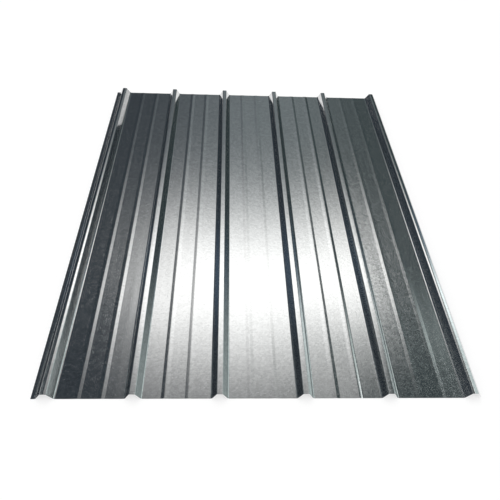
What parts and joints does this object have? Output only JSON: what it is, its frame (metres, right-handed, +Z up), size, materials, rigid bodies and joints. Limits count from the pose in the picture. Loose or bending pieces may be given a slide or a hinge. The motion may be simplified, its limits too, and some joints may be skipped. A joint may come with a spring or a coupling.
{
  "type": "corrugated metal sheet",
  "caption": "Flat-lying ribbed steel roofing sheet with narrow trapezoidal ribs, low stiffening swages in the pans, a flat underlap lip on one side and an overlap rib on the other.",
  "frame": {"origin": "middle of the sheet, on the floor it lies on", "axes": "+X across the ribs from the underlap lip to the overlap rib, +Y along the ribs, +Z up out of the weather side"},
  "size_m": [1.0498, 1.35, 0.021],
  "materials": {
    "galvanised_steel": "bright hot-dip galvanised steel with a fine, minimised spangle"
  },
  "bodies": {
    "root": {"corrugated_sheet": "galvanised_steel"}
  },
  "joints": []
}
